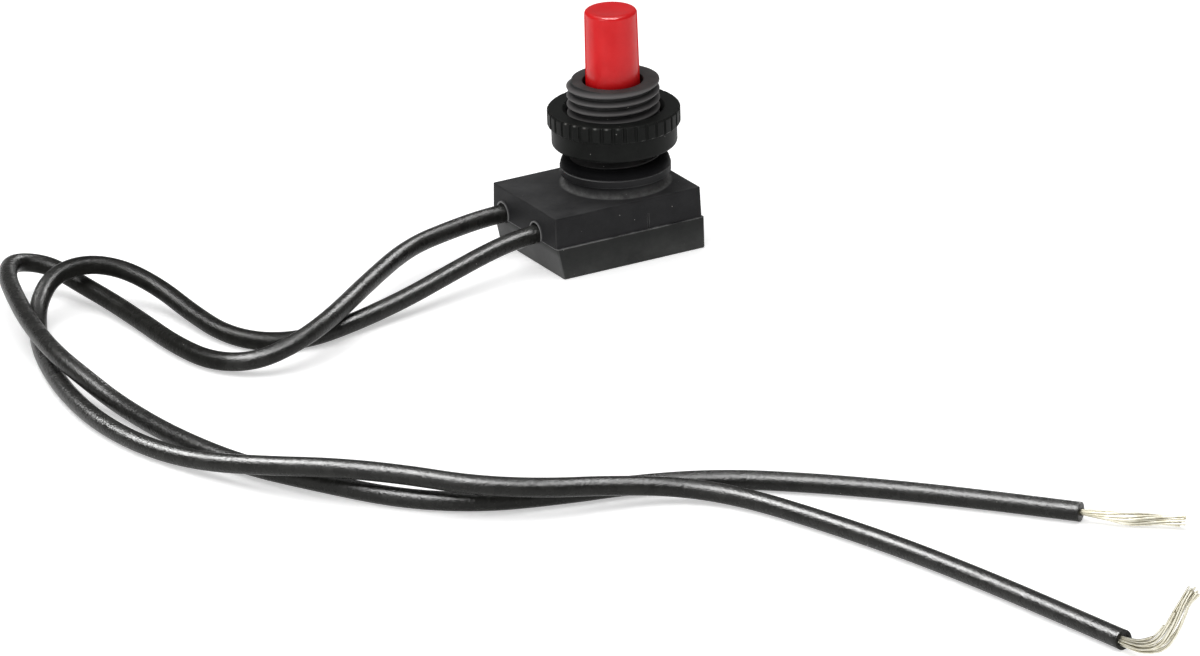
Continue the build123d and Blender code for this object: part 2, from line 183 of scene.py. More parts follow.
# Bare strands, in millimetres: a station is a point of the bundle's middle, its half width and half thickness
STRAND_DIAMETER = 0.21
STRAND_STRAY = 0.05
STRAND_SHORTEST = -0.35
STRAND_LONGEST = 0.3
STRAND_FACING = (-0.45, -0.82, 0.37)
LEAD_A_STATIONS = [
    ((-1.2, -92.3, 1.0), 0.24, 0.24),
    ((-0.4, -93.4, 1.0), 0.22, 0.22),
    ((1.2, -95.2, 0.9), 0.45, 0.36),
    ((2.8, -97.2, 0.95), 0.72, 0.45),
    ((4.3, -98.2, 0.85), 0.60, 0.45),
    ((5.7, -99.2, 0.8), 0.48, 0.40),
    ((7.0, -100.5, 0.8), 0.62, 0.40),
]
LEAD_B_STATIONS = [
    ((-14.4, -120.9, 1.0), 0.42, 0.42),
    ((-14.2, -122.2, 1.0), 0.42, 0.42),
    ((-14.0, -123.5, 1.1), 0.55, 0.42),
    ((-13.7, -125.3, 1.3), 0.75, 0.40),
    ((-13.2, -127.4, 2.3), 1.05, 0.36),
    ((-12.8, -128.6, 4.0), 1.05, 0.34),
    ((-12.2, -129.2, 5.8), 0.85, 0.34),
    ((-11.5, -129.4, 7.2), 0.68, 0.36),
    ((-10.8, -129.7, 8.1), 0.85, 0.36),
]


def only(*objects):
    """Leaves just these objects selected, the first of them active."""
    bpy.ops.object.select_all(action="DESELECT")
    for thing in objects:
        thing.select_set(True)
    bpy.context.view_layer.objects.active = objects[0]


def place(piece, body, finish):
    """Gives a finished piece its material, and lets it ride on a body."""
    piece.data.materials.clear()
    piece.data.materials.append(finish)
    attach(piece, body)


def apply_modifiers(piece):
    """Applies all of a piece's modifiers in their order."""
    only(piece)
    for modifier in list(piece.modifiers):
        bpy.ops.object.modifier_apply(modifier=modifier.name)


# Camera


def photo_camera():
    """A camera where the photograph was taken from, aimed at the middle of its frame."""
    across = math.cos(CAMERA_ELEVATION)
    back = Vector((
        math.sin(CAMERA_AZIMUTH) * across, -math.cos(CAMERA_AZIMUTH) * across, math.sin(CAMERA_ELEVATION),
    ))
    level = Vector((math.cos(CAMERA_AZIMUTH), math.sin(CAMERA_AZIMUTH), 0))
    right = level * math.cos(CAMERA_ROLL) + back.cross(level) * math.sin(CAMERA_ROLL)
    up = back.cross(right)
    eye = AXIS_POINT + back * CAMERA_DISTANCE
    focal = PIXELS_PER_MM * CAMERA_DISTANCE / MM
    aim = right * (PHOTO_WIDTH / 2 - AXIS_PIXEL_X) - up * (PHOTO_HEIGHT / 2 - AXIS_PIXEL_Y) - back * focal
    back = -aim.normalized()
    right = up.cross(back).normalized()
    up = back.cross(right)

    data = bpy.data.cameras.new("photo_camera")
    data.sensor_width = SENSOR_WIDTH
    data.lens = SENSOR_WIDTH * focal / PHOTO_WIDTH
    data.clip_start = 0.01
    data.clip_end = 20
    camera = bpy.data.objects.new("photo_camera", data)
    bpy.context.scene.collection.objects.link(camera)
    camera.matrix_world = Matrix.Translation(eye) @ Matrix((right, up, back)).transposed().to_4x4()
    bpy.context.scene.camera = camera
    return camera


photo_camera()


# Nodes that the finishes are made of: each function returns an output socket unless it says otherwise


def feed(tree, value, socket):
    """Links an output socket into a socket, or sets the socket where the value is a number or a vector."""
    if isinstance(value, bpy.types.NodeSocket):
        tree.links.new(value, socket)
    else:
        socket.default_value = value


def calculate(tree, operation, first, second=None):
    """One operation on one or two values, each a socket or a number."""
    node = tree.nodes.new("ShaderNodeMath")
    node.operation = operation
    feed(tree, first, node.inputs[0])
    if second is not None:
        feed(tree, second, node.inputs[1])
    return node.outputs["Value"]


def calculate_vector(tree, operation, first, second=None):
    """One operation on one or two vectors; a length and a dot product come out as numbers."""
    node = tree.nodes.new("ShaderNodeVectorMath")
    node.operation = operation
    feed(tree, first, node.inputs[0])
    if second is not None:
        feed(tree, second, node.inputs[1])
    return node.outputs["Value" if operation in ("LENGTH", "DOT_PRODUCT") else "Vector"]


def times(tree, product, *factors):
    """The product of values, each a socket or a number."""
    for factor in factors:
        product = calculate(tree, "MULTIPLY", product, factor)
    return product


def ramp(tree, source, low, high, to_low=0.0, to_high=1.0):
    """Maps a value from low..high to another range, held inside it."""
    node = tree.nodes.new("ShaderNodeMapRange")
    feed(tree, source, node.inputs["Value"])
    feed(tree, low, node.inputs["From Min"])
    feed(tree, high, node.inputs["From Max"])
    feed(tree, to_low, node.inputs["To Min"])
    feed(tree, to_high, node.inputs["To Max"])
    return node.outputs["Result"]


def near(tree, value, middle, half):
    """1 where a value is at the middle, falling to 0 at half to either side."""
    apart = calculate(tree, "ABSOLUTE", calculate(tree, "SUBTRACT", value, middle))
    return ramp(tree, apart, 0, half, 1, 0)


def here(tree):
    """The place on the piece, in metres."""
    return tree.nodes.new("ShaderNodeTexCoord").outputs["Object"]


def axes(tree, vector):
    """A vector's parts, as sockets by the names X, Y and Z."""
    parts = tree.nodes.new("ShaderNodeSeparateXYZ")
    feed(tree, vector, parts.inputs["Vector"])
    return parts.outputs


def from_point(tree, point, counted=(1, 1, 1)):
    """How far the place is from a point, in millimetres, or from a line along an axis that isn't counted."""
    apart = calculate_vector(tree, "SUBTRACT", here(tree), Vector(point) * MM)
    across = calculate_vector(tree, "MULTIPLY", apart, Vector(counted) / MM)
    return calculate_vector(tree, "LENGTH", across)


def at_place(tree):
    """The place on the piece, in millimetres, as sockets by the names X, Y and Z."""
    return axes(tree, calculate_vector(tree, "DIVIDE", here(tree), (MM, MM, MM)))


def from_neck_axis(tree):
    """How far the place is from the neck's axis, in millimetres."""
    return from_point(tree, (0, 0, 0), (1, 1, 0))


def surface_normal(tree):
    """The way that the surface looks."""
    return tree.nodes.new("ShaderNodeNewGeometry").outputs["Normal"]


def looking(tree, axis, low, high):
    """How far the surface looks along an axis, 0 at low and 1 at high."""
    return ramp(tree, axes(tree, surface_normal(tree))[axis], low, high)


def upward(tree):
    """1 on faces that look straight up, where dust settles."""
    return looking(tree, "Z", 0.8, 1)


def oblique(tree):
    """1 where a face of a box looks along none of its axes, as on its rounded edges."""
    parts = axes(tree, calculate_vector(tree, "ABSOLUTE", surface_normal(tree)))
    larger = calculate(tree, "MAXIMUM", parts["X"], parts["Y"])
    return ramp(tree, calculate(tree, "MAXIMUM", larger, parts["Z"]), 0.955, 0.86)


def noise(tree, scale, detail):
    """Noise over the piece, from 0 to 1; the scale is a socket or a number."""
    node = tree.nodes.new("ShaderNodeTexNoise")
    node.inputs["Detail"].default_value = detail
    node.inputs["Roughness"].default_value = 0.62
    feed(tree, here(tree), node.inputs["Vector"])
    feed(tree, scale, node.inputs["Scale"])
    return node.outputs["Fac"]


def broken(tree, scale, low, high):
    """Noise that lets a mark through in patches."""
    return ramp(tree, noise(tree, scale, 5), low, high)


def blend(tree, factor, first, second):
    """Mixes two colours by a factor; the first is a socket or a colour."""
    node = tree.nodes.new("ShaderNodeMix")
    node.data_type = "RGBA"
    feed(tree, factor, node.inputs["Factor"])
    feed(tree, (*first, 1) if isinstance(first, tuple) else first, node.inputs["A"])
    feed(tree, (*second, 1), node.inputs["B"])
    return node.outputs["Result"]


# Effects that several finishes share


def new_group(name, inputs, outputs):
    """An empty node group with named inputs and their values, and named outputs with their types."""
    group = bpy.data.node_groups.new(name, "ShaderNodeTree")
    for socket, value in inputs.items():
        made = group.interface.new_socket(socket, in_out="INPUT", socket_type="NodeSocketFloat")
        made.default_value = value
    for socket, kind in outputs.items():
        group.interface.new_socket(socket, in_out="OUTPUT", socket_type=kind)
    return group, group.nodes.new("NodeGroupInput").outputs, group.nodes.new("NodeGroupOutput").inputs


def grain_group():
    """Fine moulded grain: Height for a bump, and Cloud, a slow mottle from 0 to 1."""
    group, source, sink = new_group(
        "moulded_grain", {"Grain Scale": 4000, "Cloud Scale": 300},
        {"Height": "NodeSocketFloat", "Cloud": "NodeSocketFloat"})
    feed(group, noise(group, source["Grain Scale"], 4), sink["Height"])
    feed(group, ramp(group, noise(group, source["Cloud Scale"], 6), 0.35, 0.7), sink["Cloud"])
    return group


def edge_group():
    """Edges paler from wear and painted highlight: Normal rounds every edge a little, and the other output is
    1 on the edge where noise lets it through, for the colour of wear and painted edge highlight.
    """
    group, source, sink = new_group(
        "worn_and_highlit_edges", {"Radius": 0.1 * MM, "Break Scale": 450, "Break": 0.45},
        {"Wear And Highlight": "NodeSocketFloat", "Normal": "NodeSocketVector"})
    rounded = group.nodes.new("ShaderNodeBevel")
    rounded.samples = 8
    feed(group, source["Radius"], rounded.inputs["Radius"])
    bend = calculate_vector(group, "DOT_PRODUCT", rounded.outputs["Normal"], surface_normal(group))
    breaks = ramp(group, noise(group, source["Break Scale"], 5), source["Break"], 0.75)
    feed(group, times(group, ramp(group, bend, 0.985, 0.86), breaks), sink["Wear And Highlight"])
    feed(group, rounded.outputs["Normal"], sink["Normal"])
    return group


def speck_group():
    """Scattered specks of dust: Mask is 1 on a speck, Share is the part of the cells that hold one."""
    group, source, sink = new_group(
        "dust_specks", {"Scale": 900, "Size": 0.1, "Share": 0.3}, {"Mask": "NodeSocketFloat"})
    cells = group.nodes.new("ShaderNodeTexVoronoi")
    feed(group, here(group), cells.inputs["Vector"])
    feed(group, source["Scale"], cells.inputs["Scale"])
    draw = group.nodes.new("ShaderNodeSeparateColor")
    feed(group, cells.outputs["Color"], draw.inputs["Color"])
    speck = calculate(group, "LESS_THAN", cells.outputs["Distance"], source["Size"])
    chosen = calculate(group, "LESS_THAN", draw.outputs["Red"], source["Share"])
    feed(group, times(group, speck, chosen), sink["Mask"])
    return group


MOULDED_GRAIN = grain_group()
EDGE_WEAR_AND_HIGHLIGHT_GROUP = edge_group()
DUST_SPECKS = speck_group()


def use_group(tree, group, **values):
    """Puts a node group in a material, its inputs set by name with _ for a space; returns its outputs."""
    node = tree.nodes.new("ShaderNodeGroup")
    node.node_tree = group
    for name, value in values.items():
        node.inputs[name.replace("_", " ")].default_value = value
    return node.outputs


# Finishes


def new_material(name):
    """An empty node material with a Principled shader; returns the material, its tree and the shader."""
    material = bpy.data.materials.new(name)
    material.use_nodes = True
    return material, material.node_tree, material.node_tree.nodes["Principled BSDF"]


def grained(name, colours, gloss, grain, depth, edge=None, dust=None):
    """A surface whose colour and roughness drift with the mottle over a fine grain; returns its material,
    tree and shader. Colours and gloss are pairs, plain and mottled. Grain is its scale and the mottle's, and
    depth its height in millimetres. Edge is (radius in millimetres, colour, break), and dust is (scale, size,
    share, colour)."""
    material, tree, shader = new_material(name)
    moulded = use_group(tree, MOULDED_GRAIN, Grain_Scale=grain[0], Cloud_Scale=grain[1])
    colour = blend(tree, moulded["Cloud"], *colours)
    bump = tree.nodes.new("ShaderNodeBump")
    bump.inputs["Strength"].default_value = 0.6
    bump.inputs["Distance"].default_value = depth * MM
    feed(tree, moulded["Height"], bump.inputs["Height"])
    # The edge colour stands for wear in part and a painted edge highlight in part.
    if edge:
        wear_and_highlight = use_group(tree, EDGE_WEAR_AND_HIGHLIGHT_GROUP, Radius=edge[0] * MM, Break=edge[2])
        colour = blend(tree, wear_and_highlight["Wear And Highlight"], colour, edge[1])
        feed(tree, wear_and_highlight["Normal"], bump.inputs["Normal"])
    if dust:
        specks = use_group(tree, DUST_SPECKS, Scale=dust[0], Size=dust[1], Share=dust[2])
        colour = blend(tree, specks["Mask"], colour, dust[3])
    feed(tree, colour, shader.inputs["Base Color"])
    feed(tree, ramp(tree, moulded["Cloud"], 0, 1, *gloss), shader.inputs["Roughness"])
    feed(tree, bump.outputs["Normal"], shader.inputs["Normal"])
    return material, tree, shader


def layer(tree, shader, mask, colour):
    """Lays a colour over the shader's base colour where the mask is 1."""
    plain = shader.inputs["Base Color"].links[0].from_socket
    feed(tree, blend(tree, mask, plain, colour), shader.inputs["Base Color"])


def vary_specular(tree, shader, mask, plain, masked):
    """Takes the specular level from plain, also the socket's own, to masked where the mask is 1."""
    socket = shader.inputs["Specular IOR Level"]
    socket.default_value = plain
    feed(tree, ramp(tree, mask, 0, 1, plain, masked), socket)


DUST = (0.20, 0.20, 0.19)
# Edge colour: wear in part, painted edge highlight in part.
EDGE_WEAR_AND_HIGHLIGHT = (0.10, 0.10, 0.10)
BODY_DUST = (0.052, 0.052, 0.053)
SEAM_PALE = (0.24, 0.24, 0.24)
# Painted light and shade: dust with painted highlight at the boss's foot, painted shade on the collar's
# shoulder, painted highlights on the rim and the lips of the lead holes, a painted floor glow and painted
# bounce light low on the body.
FOOT_DUST_AND_HIGHLIGHT = (0.21, 0.21, 0.207)
SHOULDER_PAINTED_SHADE = (0.005, 0.005, 0.0055)
RIM_PAINTED_HIGHLIGHT = (0.20, 0.20, 0.20)
LIP_PAINTED_HIGHLIGHT = (0.30, 0.30, 0.30)
FLOOR_GLOW = (0.11, 0.112, 0.108)
SLOPE_PAINTED_BOUNCE = (0.10, 0.10, 0.10)


def boss_marks(tree, shader, at):
    """Dust and painted highlight round the foot of the boss, painted shade on the shoulder above its rim,
    with less specular there, and a painted highlight line on the rim.
    """
    out = from_neck_axis(tree)
    # Dust and painted highlight round the foot of the boss.
    low = ramp(tree, at["Z"], BODY_TOP + FOOT_START_HEIGHT, BODY_TOP + FOOT_FULL_HEIGHT)
    close_by = ramp(tree, out, BOSS_RADIUS + FOOT_START_REACH, BOSS_RADIUS + FOOT_FULL_REACH)
    layer(tree, shader, times(tree, low, close_by, broken(tree, 1900, 0.0, 0.9)), FOOT_DUST_AND_HIGHLIGHT)
    # Painted shade on the shoulder under the nut, and less specular there.
    shaded_shoulder = ramp(tree, at["Z"], RIM_TOP, RIM_TOP + RIM_FADE)
    layer(tree, shader, times(tree, shaded_shoulder, 0.75), SHOULDER_PAINTED_SHADE)
    vary_specular(tree, shader, shaded_shoulder, 0.18, 0.03)
    # Painted highlight on the rim's upper edge.
    at_rim = ramp(tree, out, RIM_RADIUS - RIM_FADE, RIM_RADIUS)
    rim = times(tree, near(tree, at["Z"], RIM_TOP, RIM_MARK), at_rim, broken(tree, 300, 0.36, 0.6))
    layer(tree, shader, rim, RIM_PAINTED_HIGHLIGHT)


def low_marks(tree, shader, at):
    """Painted highlight rings on the lips of the lead holes, a painted glow off the floor low on the body and
    painted bounce light on the low slope that looks towards the leads.
    """
    # Painted highlight rings on the lips of the lead holes.
    at_lips = ramp(tree, at["X"], LIP_FACE + LIP_START_DEPTH, LIP_FACE + LIP_FULL_DEPTH)
    for route in (LEAD_A_ROUTE, LEAD_B_ROUTE):
        lip_highlight = near(tree, from_point(tree, route[0], (0, 1, 1)), LIP_RADIUS, LIP_MARK)
        layer(tree, shader, times(tree, lip_highlight, at_lips), LIP_PAINTED_HIGHLIGHT)
    # Painted glow of light off the floor, low on the body.
    glow = times(tree, ramp(tree, at["Z"], FLOOR_GLOW_HEIGHT, 0), broken(tree, 350, 0.2, 0.7))
    layer(tree, shader, times(tree, glow, 0.4), FLOOR_GLOW)
    # Painted bounce light on the low faces that look towards the leads.
    low = ramp(tree, at["Z"], PALE_SLOPE_START, PALE_SLOPE_FULL)
    layer(tree, shader, times(tree, looking(tree, "X", -0.4, -0.7), low, 0.55), SLOPE_PAINTED_BOUNCE)


def moulded_body(name, colours):
    """The body's matt plastic: edges paler from wear and painted highlight, a pale broken seam, dust on top,
    and painted light and shade round the boss and low down.
    """
    material, tree, shader = grained(
        name, colours, gloss=(0.55, 0.68), grain=(5200, 420), depth=0.03,
        edge=(0.16, EDGE_WEAR_AND_HIGHLIGHT, 0.25), dust=(1700, 0.09, 0.12, DUST))
    at = at_place(tree)
    layer(tree, shader, times(tree, upward(tree), broken(tree, 260, 0.15, 0.75)), BODY_DUST)
    # Rounded edges below the top painted paler: wear in part, painted highlight in part.
    below_top = ramp(tree, at["Z"], BODY_TOP + EDGE_FADE, BODY_TOP)
    edges = times(tree, oblique(tree), below_top, broken(tree, 380, 0.38, 0.62))
    layer(tree, shader, times(tree, edges, 0.2), EDGE_WEAR_AND_HIGHLIGHT)
    seam = times(tree, near(tree, at["Z"], SEAM_HEIGHT, SEAM_MARK), broken(tree, 420, 0.36, 0.6))
    layer(tree, shader, times(tree, seam, 0.9), SEAM_PALE)
    boss_marks(tree, shader, at)
    low_marks(tree, shader, at)
    return material


body_black = moulded_body("body_black", ((0.0090, 0.0090, 0.0100), (0.019, 0.019, 0.020)))
base_black = moulded_body("base_black", ((0.0115, 0.0122, 0.0118), (0.022, 0.023, 0.022)))


def knurled_black():
    """The nut's smoother, darker plastic, with a painted glint on the ends of some of the knurled band's
    lands, and edges paler from wear and painted highlight. The painted glints on the upper ends are on its
    left side, and those on the lower ends on its right."""
    material, tree, shader = grained(
        "nut_black", ((0.005, 0.0055, 0.005), (0.010, 0.011, 0.010)), gloss=(0.46, 0.56), grain=(4200, 500),
        depth=0.01, edge=(0.10, (0.045, 0.045, 0.043), 0.38), dust=(1500, 0.09, 0.10, DUST))
    shader.inputs["Specular IOR Level"].default_value = 0.1
    at = at_place(tree)
    turns = times(tree, calculate(tree, "ARCTAN2", at["Y"], at["X"]), KNURL_COUNT / (2 * math.pi))
    land = calculate(tree, "FRACT", turns)
    rim = ramp(tree, from_neck_axis(tree), BAND_RADIUS - GLINT_START_DEPTH, BAND_RADIUS - GLINT_FULL_DEPTH)
    upper = BAND_TOP - GLINT_INSET
    lower = BAND_TOP - BAND_HEIGHT + GLINT_INSET
    for level, middle, patch, start_x, full_x in ((upper, 0.42, 170, 3, -2), (lower, 0.6, 150, -2, 2)):
        end = times(tree, near(tree, at["Z"], level, GLINT_HALF_HEIGHT), near(tree, land, middle, 0.2))
        side = times(tree, rim, ramp(tree, at["X"], start_x, full_x))
        painted_glints = times(tree, end, side, broken(tree, patch, 0.45, 0.66))
        # Painted glints: a pale colour on the land ends where light would catch.
        layer(tree, shader, painted_glints, (0.36, 0.36, 0.34))
    return material


nut_black = knurled_black()


def moulded_red():
    """The button's red plastic, with less gloss towards its limb."""
    material, tree, shader = grained(
        "button_red", ((0.68, 0.006, 0.009), (0.76, 0.012, 0.015)), gloss=(0.20, 0.27), grain=(3000, 350),
        depth=0.006, dust=(700, 0.09, 0.08, (0.85, 0.40, 0.38)))
    limb = tree.nodes.new("ShaderNodeLayerWeight")
    limb.inputs["Blend"].default_value = 0.5
    side = ramp(tree, upward(tree), 0, 1, 1, 0)
    edge = times(tree, ramp(tree, limb.outputs["Facing"], 0.5, 0.95, 0, 0.9), side)
    vary_specular(tree, shader, ramp(tree, edge, 0, 0.5), 0.28, 0.0)
    return material


button_red = moulded_red()


def lead_insulation():
    """The leads' black insulation with a grainy sheen, duller where both leads turn back towards the body."""
    material, tree, shader = grained(
        "lead_insulation", ((0.012, 0.012, 0.011), (0.021, 0.021, 0.019)), gloss=(0.24, 0.32),
        grain=(3000, 600), depth=0.11, dust=(1400, 0.07, 0.05, DUST))
    at = at_place(tree)
    dull = times(
        tree, ramp(tree, at["X"], DULL_NEAR_X + DULL_NEAR_FADE, DULL_NEAR_X),
        ramp(tree, at["X"], DULL_FAR_X - DULL_FAR_FADE, DULL_FAR_X),
        ramp(tree, at["Y"], DULL_FRONT_Y - DULL_FRONT_FADE, DULL_FRONT_Y))
    vary_specular(tree, shader, dull, 0.14, 0.03)
    return material


insulation = lead_insulation()
rotor_white, _, _ = grained(
    "rotor_white", ((0.72, 0.70, 0.64), (0.78, 0.76, 0.70)), gloss=(0.45, 0.55), grain=(3000, 300),
    depth=0.01)


def rubbed_and_highlit_thread():
    """The body's plastic on the neck, paler towards the crests of its thread above the nut: rub in part,
    painted highlight in part.
    """
    material, tree, shader = grained(
        "thread_black", ((0.014, 0.014, 0.014), (0.030, 0.029, 0.029)), gloss=(0.50, 0.62), grain=(5200, 420),
        depth=0.01, dust=(1500, 0.11, 0.12, DUST))
    shader.inputs["Specular IOR Level"].default_value = 0.12
    low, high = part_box("neck")
    crest = (high[0] - low[0]) / 2 / MM
    top = high[2] / MM
    at = at_place(tree)
    # Crests painted paler: rub in part, painted highlight in part.
    rub_and_highlight = times(
        tree, ramp(tree, from_neck_axis(tree), crest - THREAD_RUB_AND_HIGHLIGHT_DEPTH, crest, 0.0, 0.85),
        ramp(tree, at["Z"], top, top - NECK_TOP_FADE, 0.35, 1),
        ramp(tree, at["Z"], BAND_TOP - THREAD_RUB_AND_HIGHLIGHT_FADE, BAND_TOP))
    layer(tree, shader, rub_and_highlight, (0.15, 0.145, 0.145))
    layer(tree, shader, times(tree, upward(tree), broken(tree, 260, 0.1, 0.7)), (0.066, 0.064, 0.063))
    return material


thread_black = rubbed_and_highlit_thread()


def metal(name, colours, gloss, grain, depth):
    """A bare metal with slow patches of tarnish over its grain; returns its material, tree and shader."""
    material, tree, shader = grained(name, colours, gloss, grain, depth)
    shader.inputs["Metallic"].default_value = 1
    return material, tree, shader


def tinned():
    """The strands' tinned copper, with painted shade where lead A's strands leave the insulation."""
    material, tree, shader = metal(
        "tinned_wire", ((0.82, 0.80, 0.70), (0.57, 0.53, 0.40)), gloss=(0.30, 0.45), grain=(9000, 900),
        depth=0.004)
    # Painted shade on the strands at the insulation's cut end.
    exit_shade = ramp(tree, from_point(tree, LEAD_A_ROUTE[-1]), EXIT_SHADE_REACH, EXIT_SHADE_FULL, 0, 0.8)
    layer(tree, shader, exit_shade, (0.26, 0.24, 0.17))
    return material


tinned_wire = tinned()
strip_brass, _, _ = metal(
    "strip_brass", ((0.78, 0.58, 0.26), (0.62, 0.42, 0.17)), gloss=(0.30, 0.48), grain=(4000, 500),
    depth=0.004)
contact_silver, _, _ = metal(
    "contact_silver", ((0.86, 0.86, 0.84), (0.66, 0.66, 0.64)), gloss=(0.28, 0.42), grain=(4000, 800),
    depth=0.003)
spring_steel, _, _ = metal(
    "spring_steel", ((0.62, 0.62, 0.63), (0.48, 0.48, 0.50)), gloss=(0.26, 0.40), grain=(6000, 600),
    depth=0.003)

NODE_FINISHES = {
    "housing": body_black, "neck": thread_black, "base_cover": base_black, "knurled_nut": nut_black,
    "button": button_red, "index_rotor": rotor_white, "contact_bridge": strip_brass,
    "contact_strip_a": strip_brass, "contact_strip_b": strip_brass, "bridge_contacts": contact_silver,
    "strip_contacts": contact_silver, "return_spring": spring_steel, "lead_a": insulation,
    "lead_b": insulation, "lead_a_core": tinned_wire, "lead_b_core": tinned_wire,
    "lead_a_strands": tinned_wire, "lead_b_strands": tinned_wire,
}
for node_name, finish in NODE_FINISHES.items():
    nodes[node_name].data.materials.clear()
    nodes[node_name].data.materials.append(finish)


# Threaded neck


def carve(solid, tool, operation):
    """Takes a tool out of a solid, or joins it to the solid, and deletes the tool."""
    cut = solid.modifiers.new("cut", "BOOLEAN")
    cut.operation = operation
    cut.solver = "EXACT"
    cut.object = tool
    apply_modifiers(solid)
    bpy.data.objects.remove(tool)


def upright_cylinder(radius, bottom, top):
    """A solid cylinder on the neck's axis."""
    bpy.ops.object.select_all(action="DESELECT")
    bpy.ops.mesh.primitive_cylinder_add(
        vertices=BORE_SIDES, radius=radius, depth=top - bottom, location=(0, 0, (top + bottom) / 2))
    bpy.ops.object.transform_apply(location=True, rotation=False, scale=False)
    return bpy.context.object


def guide_rib(side, guide_radius, guide_top):
    """A block that stands for one of the guide bore's ribs, and reaches past the bore's top."""
    past = CUT_PAST * MM
    bpy.ops.object.select_all(action="DESELECT")
    bpy.ops.mesh.primitive_cube_add(
        size=1, location=(side * guide_radius, 0, guide_top - RIB_LENGTH / 2 * MM + past / 2),
        scale=(2 * RIB_DEPTH * MM, RIB_WIDTH * MM, RIB_LENGTH * MM + past))
    return bpy.context.object


def bore_cutter(neck_top, neck_bottom):
    """The neck's inside as a solid: the button's hole, and below it the guide bore less its two ribs."""
    past = CUT_PAST * MM
    guide_top = neck_top - NECK_LIP * MM
    guide_radius = GUIDE_BORE_DIAMETER / 2 * MM
    cutter = upright_cylinder(guide_radius, neck_bottom - past, guide_top)
    for side in (-1, 1):
        carve(cutter, guide_rib(side, guide_radius, guide_top), "DIFFERENCE")
    hole = upright_cylinder(BUTTON_HOLE_DIAMETER / 2 * MM, guide_top - past, neck_top + past)
    carve(cutter, hole, "UNION")
    return cutter


def add_profile_vertex(step):
    """Extrudes the selected end of the profile line by a step."""
    bpy.ops.mesh.extrude_region_move(TRANSFORM_OT_translate={"value": step})


def thread_profile(radius, start):
    """One tooth of the thread as a line: its crest, a flank, its root and the next flank."""
    depth = THREAD_DEPTH * MM
    flank = (THREAD_PITCH - CREST_WIDTH - ROOT_WIDTH) / 2 * MM
    bpy.ops.object.select_all(action="DESELECT")
    bpy.ops.mesh.primitive_plane_add(size=THREAD_PITCH * MM, location=(radius, 0, start))
    profile = bpy.context.object
    bpy.ops.object.transform_apply(location=True, rotation=False, scale=False)
    bpy.ops.object.mode_set(mode="EDIT")
    bpy.ops.mesh.select_all(action="SELECT")
    bpy.ops.mesh.merge(type="CENTER")
    add_profile_vertex((0, 0, CREST_WIDTH * MM))
    add_profile_vertex((-depth, 0, flank))
    add_profile_vertex((0, 0, ROOT_WIDTH * MM))
    add_profile_vertex((depth, 0, flank))
    bpy.ops.object.mode_set(mode="OBJECT")
    return profile


def screw_round(neck, teeth):
    """Repeats the profile up the neck, rounds its corners a little and screws it round the axis."""
    repeat = neck.modifiers.new("repeat", "ARRAY")
    repeat.count = teeth
    repeat.use_relative_offset = False
    repeat.use_constant_offset = True
    repeat.constant_offset_displace = (0, 0, THREAD_PITCH * MM)
    repeat.use_merge_vertices = True
    repeat.merge_threshold = WELD
    soften = neck.modifiers.new("soften", "BEVEL")
    soften.affect = "VERTICES"
    soften.width = CREST_ROUND * MM
    soften.segments = 3
    soften.limit_method = "NONE"
    helix = neck.modifiers.new("helix", "SCREW")
    helix.angle = 2 * math.pi
    helix.screw_offset = THREAD_PITCH * MM
    helix.steps = TURN_STEPS
    helix.render_steps = TURN_STEPS
    helix.use_merge_vertices = True
    helix.merge_threshold = WELD
    apply_modifiers(neck)


def trim_ends(neck, top, bottom):
    """Cuts the thread flat at the neck's top and bottom, and closes both ends."""
    only(neck)
    bpy.ops.object.mode_set(mode="EDIT")
    bpy.ops.mesh.select_all(action="SELECT")
    bpy.ops.mesh.remove_doubles(threshold=WELD)
    for height, above in ((top, True), (bottom, False)):
        bpy.ops.mesh.select_all(action="SELECT")
        bpy.ops.mesh.bisect(
            plane_co=(0, 0, height), plane_no=(0, 0, 1), use_fill=True, clear_outer=above,
            clear_inner=not above, threshold=CLOSE)
    bpy.ops.mesh.select_all(action="SELECT")
    bpy.ops.mesh.normals_make_consistent(inside=False)
    bpy.ops.object.mode_set(mode="OBJECT")


def ease_edges(piece, test, width):
    """Bevels the edges of a piece whose two ends both pass a test."""
    only(piece)
    bpy.ops.object.mode_set(mode="EDIT")
    bpy.ops.mesh.select_mode(type="EDGE")
    bpy.ops.mesh.select_all(action="DESELECT")
    bpy.ops.object.mode_set(mode="OBJECT")
    corners = piece.data.vertices
    for edge in piece.data.edges:
        edge.select = all(test(corners[end].co) for end in edge.vertices)
    bpy.ops.object.mode_set(mode="EDIT")
    bpy.ops.mesh.bevel(offset=width, segments=2, affect="EDGES", clamp_overlap=True)
    bpy.ops.object.mode_set(mode="OBJECT")


def threaded_neck():
    """The neck with its thread, its bore and eased edges on its top."""
    low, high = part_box("neck")
    radius = (high[0] - low[0]) / 2
    top = high[2]
    bottom = low[2]
    turns = math.ceil((top - bottom) / (THREAD_PITCH * MM)) + 2
    neck = thread_profile(radius, top - CREST_BELOW_TOP * MM - (turns - 2) * THREAD_PITCH * MM)
    neck.name = "threaded_neck"
    screw_round(neck, turns + 1)
    trim_ends(neck, top, bottom)
    carve(neck, bore_cutter(top, bottom), "DIFFERENCE")
    middle = (BUTTON_HOLE_DIAMETER / 2 * MM + radius - THREAD_DEPTH * MM) / 2
    ease_edges(neck, lambda at: at.z > top - CLOSE and math.hypot(at.x, at.y) > middle, RIM_EASE * MM)
    ease_edges(neck, lambda at: at.z > top - CLOSE and math.hypot(at.x, at.y) < middle, HOLE_EASE * MM)
    only(neck)
    bpy.ops.object.shade_smooth_by_angle(angle=math.radians(35))
    place(neck, "housing", thread_black)
    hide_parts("neck")
    return neck


threaded_neck()


# Return spring


